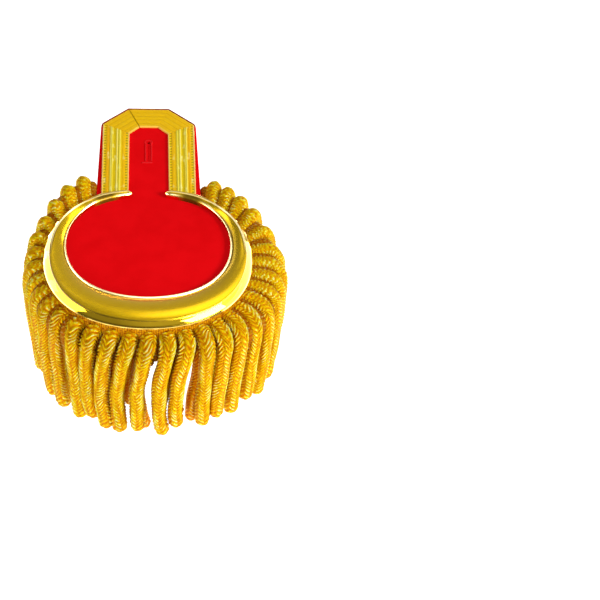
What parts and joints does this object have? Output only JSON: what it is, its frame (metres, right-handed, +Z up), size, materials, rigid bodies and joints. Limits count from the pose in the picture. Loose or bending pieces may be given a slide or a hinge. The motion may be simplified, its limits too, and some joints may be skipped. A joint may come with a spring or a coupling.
{
  "type": "epaulette",
  "caption": "Dress epaulette: a cloth-covered shoulder board with a ribbed gold lace border, a polished crescent round its field and thick hanging bullion fringe.",
  "frame": {"origin": "under the middle of the round field, on the board's underside, where it sits on the shoulder", "axes": "+Y along the strap towards the collar, -Y down the arm, +Z up out of the board, and +X the side on which the fringe stands out furthest"},
  "size_m": [0.1425, 0.2014, 0.0798],
  "materials": {
    "red_cloth": "bright red felted wool",
    "gold_lace": "woven metallic lace, ribbed and satin bands",
    "polished_brass": "stamped and mirror polished",
    "bullion": "twisted metallic bullion strands, sparkling",
    "plain_brass": "plain rolled strip, dull"
  },
  "bodies": {
    "root": {"cloth_board": "red_cloth", "lace_border": "gold_lace", "crescent": "polished_brass", "fringe_outer_left": "bullion", "fringe_outer_front": "bullion", "fringe_outer_right": "bullion", "fringe_inner_left": "bullion", "fringe_inner_right": "bullion", "fixing_tongue": "plain_brass"}
  },
  "joints": []
}
